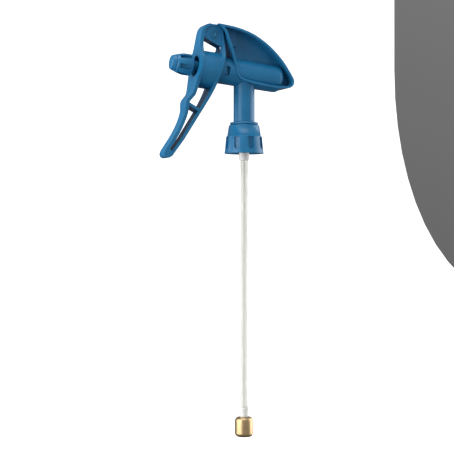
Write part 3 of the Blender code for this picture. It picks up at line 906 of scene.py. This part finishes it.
@dataclass
class SprayNozzle:
    """The screw cap, its washer and the rod that carries them."""

    kit: Assembly
    rear: float = 49.3
    front: float = 68.2
    radius: float = 9.4
    tip_r: float = 6.2
    bore: float = 4.7
    inside: float = 66.4
    orifice_r: float = 0.5
    spray_cone_r: float = 1.6
    spray_cone_depth: float = 0.6
    tip_round: float = 1.4
    rear_round: float = 0.7
    groove: float = 0.35
    grips: int = 6
    grip_turn: float = -110.0
    grip_lean: float = -9.0
    grip_start: float = 1.8
    grip_share: float = 0.55
    grip_width: float = 4.2
    grip_depth: float = 1.8
    coil: Coil = Coil("outlet_coil", 1.8, 0.25, 18.63, 27.62, 6, "outlet_ball_lift", 27.6, 0.88)

    def build(self) -> None:
        """Turns the cap, cuts its grips and finishes what rides with it."""
        run = self.front - self.rear
        # The outline narrows towards the tip: each point is a share of the narrowing and of the length, and
        # the second and third lie in a groove.
        shares = [
            (0.66, 0.18, 0.0),
            (0.66, 0.2, self.groove),
            (0.6, 0.22, self.groove),
            (0.56, 0.24, 0.0),
            (0.42, 0.3, 0.0),
            (0.26, 0.4, 0.0),
            (0.1, 0.51, 0.0),
            (0.0, 0.62, 0.0),
        ]
        slope = self.radius - self.tip_r
        profile = [
            (self.spray_cone_r, self.front),
            (self.spray_cone_r + 0.3, self.front),
            *quarter((self.tip_r - 1.2, self.front - self.tip_round), self.tip_round, 90.0, 12.0),
            *((self.radius - lost * slope - cut, self.front - share * run) for lost, share, cut in shares),
            (self.radius, self.rear + self.rear_round),
            (self.radius - self.rear_round, self.rear),
            (self.bore, self.rear),
            (self.bore, self.inside),
            (self.orifice_r, self.inside),
            (self.orifice_r, self.front - self.spray_cone_depth),
        ]
        cap = lathe("spray_cap", profile, 96)
        floor, outside = self.radius - self.grip_depth, self.radius + 5.0
        cutter = round_foot_cutter(self.grip_width, 0.0, self.grip_share * run, floor, outside)
        lean = Matrix.Translation((self.radius * MM, 0.0, (self.rear + self.grip_start) * MM))
        lean = lean @ Matrix.Rotation(math.radians(self.grip_lean), 4, "Y")
        lean = lean @ Matrix.Translation((-self.radius * MM, 0.0, 0.0))
        settle(cutter, lean)
        carve(cap, ring_of(cutter, self.grips, self.grip_turn))
        soften(cap, 0.3, 36.0)
        settle(cap, HEAD)
        self.kit.dress(cap, BLUE_POLYPROPYLENE, Slot.BLUE, Body.NOZZLE, ["nozzle_cap"])
        self.kit.paint("nozzle_seal", NITRILE_RUBBER)

    def build_rod(self) -> None:
        """Smooths the rod and finishes the small pieces inside it."""
        rod = soften(self.kit.copy_of("piston_rod", "drive_rod"), 0.25)
        self.kit.dress(rod, BLUE_POLYPROPYLENE, Slot.BLUE, Body.PLUNGER, ["piston_rod"])
        for node in ("outlet_seat", "spring_stop", "swirl_insert"):
            self.kit.paint(node, NATURAL_POLYETHYLENE)
        self.kit.paint("outlet_ball", STAINLESS_STEEL)
        spring = self.coil.build()
        self.kit.dress(spring, STAINLESS_STEEL, Slot.STEEL, Body.PLUNGER, ["outlet_spring"])
        self.coil.shorten(spring)


@dataclass
class Pump:
    """The cylinder, piston, seals and return spring inside the barrel."""

    kit: Assembly
    coil: Coil = Coil("return_coil", 5.3, 0.5, -23.1, 11.7, 7, "piston_slide", -23.1, 0.76)

    def build(self) -> None:
        """Winds the return spring and finishes the sealed pieces."""
        self.kit.paint("pump_cylinder", BLUE_POLYPROPYLENE)
        for node in ("rod_bush", "piston_head"):
            self.kit.paint(node, NATURAL_POLYETHYLENE)
        for node in ("rod_wiper", "front_piston_seal", "rear_piston_seal"):
            self.kit.paint(node, NITRILE_RUBBER)
        spring = self.coil.build()
        self.kit.dress(spring, STAINLESS_STEEL, Slot.STEEL, Body.HEAD, ["return_spring"])
        self.coil.shorten(spring)


@dataclass
class Inlet:
    """The valve body with its socket, the inlet valve and the gaskets."""

    kit: Assembly
    flange_r: float = 11.9
    flange_low: float = 1.9
    flange_high: float = 4.2
    stem_r: float = 4.5
    stem_low: float = -22.6
    line_depth: float = 0.15
    bore_r: float = 2.2
    throat_share: float = 0.7
    funnel_r: float = 3.0
    funnel_depth: float = 2.4
    spigot_r: float = 5.9
    spigot_top: float = 13.0

    def build(self) -> None:
        """Turns the valve body and finishes the pieces on the neck's axis."""
        profile = [
            (self.spigot_r, self.spigot_top),
            (self.spigot_r, self.flange_high),
            (self.flange_r, self.flange_high),
            (self.flange_r, self.flange_low),
            (self.stem_r, self.flange_low),
            (self.stem_r, self.stem_low + 1.5),
            (self.stem_r - self.line_depth, self.stem_low + 1.1),
            (self.stem_r - self.line_depth, self.stem_low + 0.8),
            (self.stem_r - 0.6, self.stem_low),
            (self.bore_r, self.stem_low),
            (self.bore_r * self.throat_share, self.spigot_top - self.funnel_depth),
            (self.funnel_r, self.spigot_top),
        ]
        body = soften(lathe("tube_socket", profile, 64), 0.25)
        self.kit.dress(body, NATURAL_POLYETHYLENE, Slot.NATURAL, Body.HEAD, ["valve_body"])
        self.kit.paint("ball_cage", NATURAL_POLYETHYLENE)
        self.kit.paint("inlet_ball", STAINLESS_STEEL)
        self.kit.paint("neck_seal", NITRILE_RUBBER)
        gasket = soften(self.kit.copy_of("bottle_gasket", "lip_gasket"), 0.3)
        self.kit.dress(gasket, NITRILE_RUBBER, Slot.RUBBER, Body.NUT, ["bottle_gasket"])


@dataclass
class DipTube:
    """The hanging tube with its filter sleeve and brass weight."""

    kit: Assembly
    tube_r: float = 3.3
    bore_r: float = 1.4
    top: float = -22.9
    length: float = 216.4
    points: int = 16
    flare_r: float = 3.65
    flare_length: float = 11.0
    sleeve_r: float = 3.75
    sleeve_length: float = 8.0
    gap: float = 0.3
    rings: int = 3
    ring_start: float = 1.4
    ring_pitch: float = 2.0
    ring_width: float = 0.6
    ring_depth: float = 0.25
    filter_stem_r: float = 2.9
    filter_bore_r: float = 1.3
    weight_r: float = 8.05
    weight_length: float = 17.6
    weight_round: float = 3.4
    countersink: float = 2.0
    foot_chamfer: float = 0.8

    @property
    def bottom(self) -> float:
        """The height of the tube's lower end."""
        return self.top - self.length

    def route(self) -> list[tuple[float, float, float]]:
        """The tube's centreline, in metres: straight down from the socket."""
        last = self.points - 1
        return [(0.0, 0.0, (self.top - self.length * i / last) * MM) for i in range(self.points)]

    def build(self) -> None:
        sleeve = self.make_sleeve()
        weight = self.make_weight()
        tube = self.make_tube()
        self.kit.dress(tube, CLEAR_POLYETHYLENE, Slot.CLEAR, Body.HEAD, ["dip_tube"])
        self.kit.dress(sleeve, NATURAL_POLYETHYLENE, Slot.NATURAL, Body.HEAD, ["intake_filter"])
        self.kit.dress(weight, BRASS, Slot.BRASS, Body.HEAD, ["brass_weight"])

    def make_tube(self) -> bpy.types.Object:
        """The tube with its bore, and with its top end stretched a little where it was pushed on.

        Returns:
            A hollow tube, with a ring of points at each point of the route.
        """
        heights = [point[2] / MM for point in self.route()]
        flare = [(self.flare_r, self.top), (self.flare_r, self.top - self.flare_length)]
        outer = [*flare, *((self.tube_r, height) for height in heights[1:])]
        inner = [(self.bore_r, height) for height in reversed(heights)]
        return soften(lathe("suction_tube", [*outer, *inner], 48), 0.2)

    def make_sleeve(self) -> bpy.types.Object:
        """The filter: a sleeve with shallow rings and a stem down through the weight.

        Returns:
            The turned filter.
        """
        top = self.bottom - self.gap
        low = top - self.sleeve_length
        stem_low = low - self.gap - self.weight_length + 1.0
        radius = self.sleeve_r
        outline: list[tuple[float, float]] = [(radius - 0.4, top), (radius, top - 0.6)]
        for index in range(self.rings):
            height = top - self.ring_start - index * self.ring_pitch
            outline += [
                (radius, height),
                (radius - self.ring_depth, height - self.ring_width / 2),
                (radius, height - self.ring_width),
            ]
        outline += [
            (radius, low),
            (self.filter_stem_r, low),
            (self.filter_stem_r, stem_low),
            (self.filter_bore_r, stem_low),
            (self.filter_bore_r, top),
        ]
        return soften(lathe("filter_sleeve", outline, 48), 0.12)

    def make_weight(self) -> bpy.types.Object:
        """The brass weight, with round shoulders and a countersunk top.

        Returns:
            The turned weight.
        """
        high = self.bottom - 2 * self.gap - self.sleeve_length
        low = high - self.weight_length
        radius, round_r = self.weight_r, self.weight_round
        hole = self.filter_stem_r + self.gap
        shoulder = radius - round_r
        outline = [
            *quarter((shoulder, high - round_r), round_r, 90.0, 0.0, 9),
            *quarter((shoulder, low + round_r), round_r, 0.0, -90.0, 9),
            (hole + self.foot_chamfer, low),
            (hole, low + self.foot_chamfer),
            (hole, high - self.countersink),
            (self.sleeve_r + 0.4, high),
        ]
        return soften(lathe("tube_weight", outline, 96), 0.15)


# ----------------------------------------------------------------------------------------------- the studio


@dataclass(frozen=True)
class Softbox:
    """A soft rectangular light: its place and sides are in metres, its power in watts."""

    name: str
    place: tuple[float, float, float]
    sides: tuple[float, float]
    watts: float


@dataclass
class Studio:
    """The camera, the soft lights and the pale sweep behind the object, in metres."""

    azimuth: float = math.radians(-20.0)
    distance: float = 1.2
    middle: tuple[float, float, float] = (-0.01408, 0.00514, -0.081)
    lens: float = 108.1
    floor: float = -0.42
    sweep_size: float = 6.0
    sweep_back: float = 2.6
    sweep_rise: float = 4.0
    sweep_bend: float = 1.2
    surround: tuple[float, float] = (0.12, 0.5)
    brightest: tuple[float, float, float] = (0.0, -0.7, 0.7)
    gradient_end: float = 0.7  # how far towards the brightest side the surround keeps getting brighter
    card_glow: float = 0.9
    aim: tuple[float, float, float] = (0.0, 0.0, -0.06)
    lights: tuple[Softbox, ...] = (
        Softbox("left_softbox", (-1.05, -0.05, -0.05), (1.5, 1.3), 19.0),
        Softbox("right_softbox", (1.0, 0.0, 0.0), (1.1, 1.3), 12.0),
        Softbox("high_softbox", (-0.3, -0.4, 1.25), (1.2, 0.8), 9.0),
    )

    def build(self) -> None:
        """Sets up the camera, the lights and the sweep."""
        self.add_camera()
        for softbox in self.lights:
            self.add_light(softbox)
        self.add_world()
        self.add_sweep()
        bpy.context.scene.view_settings.view_transform = "Standard"

    def add_camera(self) -> None:
        """A level camera, a long lens away."""
        data = bpy.data.cameras.new("camera")
        data.lens = self.lens
        data.sensor_width = 36.0
        data.clip_end = 20.0
        camera = bpy.data.objects.new("camera", data)
        bpy.context.scene.collection.objects.link(camera)
        back = Vector((math.sin(self.azimuth), -math.cos(self.azimuth), 0.0))
        camera.location = Vector(self.middle) + back * self.distance
        camera.rotation_euler = (-back).to_track_quat("-Z", "Y").to_euler()
        bpy.context.scene.camera = camera

    def add_light(self, softbox: Softbox) -> None:
        """Hangs a softbox that faces the object.

        Args:
            softbox: The light's name, place, sides and power.
        """
        data = bpy.data.lights.new(softbox.name, "AREA")
        data.shape = "RECTANGLE"
        data.energy = softbox.watts
        data.size, data.size_y = softbox.sides
        light = bpy.data.objects.new(softbox.name, data)
        bpy.context.scene.collection.objects.link(light)
        light.location = softbox.place
        light.rotation_euler = (Vector(self.aim) - light.location).to_track_quat("-Z", "Y").to_euler()

    def add_world(self) -> None:
        """A pale surround, brightest high in front and darkest low behind."""
        world = bpy.data.worlds.new("surround")
        world.use_nodes = True
        bpy.context.scene.world = world
        tree = world.node_tree
        facing = add_node(tree, "ShaderNodeTexCoord").outputs["Generated"]
        towards = add_node(tree, "ShaderNodeVectorMath", {"operation": "DOT_PRODUCT"})
        tree.links.new(facing, towards.inputs[0])
        towards.inputs[1].default_value = self.brightest
        strength = add_node(
            tree,
            "ShaderNodeMapRange",
            inputs={
                "Value": towards.outputs["Value"],
                "From Min": -self.gradient_end,
                "From Max": self.gradient_end,
                "To Min": self.surround[0],
                "To Max": self.surround[1],
            },
        )
        background = tree.nodes["Background"]
        background.inputs["Color"].default_value = linear("#ffffff")
        tree.links.new(strength.outputs["Result"], background.inputs["Strength"])

    def add_sweep(self) -> None:
        """A glowing white floor that curves up into a backdrop, and lights no surface."""
        deselect()
        bpy.ops.mesh.primitive_plane_add(size=self.sweep_size, location=(0.0, self.sweep_back, self.floor))
        sweep = bpy.context.object
        sweep.name = "studio_sweep"
        bpy.ops.object.transform_apply(location=True, rotation=True, scale=True)
        bpy.ops.object.mode_set(mode="EDIT")
        bpy.ops.mesh.select_mode(type="EDGE")
        bpy.ops.mesh.select_all(action="DESELECT")
        bpy.ops.object.mode_set(mode="OBJECT")
        for edge in sweep.data.edges:
            edge.select = all(sweep.data.vertices[i].co.y > self.sweep_back for i in edge.vertices)
        bpy.ops.object.mode_set(mode="EDIT")
        bpy.ops.mesh.extrude_region_move(TRANSFORM_OT_translate={"value": (0.0, 0.0, self.sweep_rise)})
        bpy.ops.mesh.select_mode(type="VERT")
        bpy.ops.object.mode_set(mode="OBJECT")
        apply_modifier(sweep, "BEVEL", width=self.sweep_bend, segments=12, limit_method="ANGLE")
        made = bpy.data.materials.new("white_card")
        made.use_nodes = True
        shader = made.node_tree.nodes["Principled BSDF"]
        place = add_node(made.node_tree, "ShaderNodeTexCoord").outputs["Object"]
        fibre = add_node(made.node_tree, "ShaderNodeTexNoise", inputs={"Vector": place, "Scale": 40.0})
        tone = add_node(made.node_tree, "ShaderNodeValToRGB", inputs={"Fac": fibre.outputs["Fac"]})
        tone.color_ramp.elements[0].color = linear("#fbfbfb")
        tone.color_ramp.elements[1].color = linear("#ffffff")
        made.node_tree.links.new(tone.outputs["Color"], shader.inputs["Base Color"])
        shader.inputs["Roughness"].default_value = 0.9
        shader.inputs["Emission Color"].default_value = linear("#ffffff")
        shader.inputs["Emission Strength"].default_value = self.card_glow
        sweep.data.materials.append(made)
        sweep.visible_diffuse = False
        sweep.visible_glossy = False


def main(frame: dict[str, Any]) -> None:
    """Builds every sub-assembly around the frame.
    """
    kit = Assembly(frame, Palette())
    Studio().build()
    DipTube(kit).build()
    Moulding(kit).build()
    Lever(kit).build()
    ClosureNut(kit).build()
    Inlet(kit).build()
    nozzle = SprayNozzle(kit)
    nozzle.build()
    nozzle.build_rod()
    Pump(kit).build()


if __name__ == "__main__":
    logging.basicConfig(level=logging.INFO, format="%(name)s: %(message)s")
    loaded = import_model()
    main(loaded)
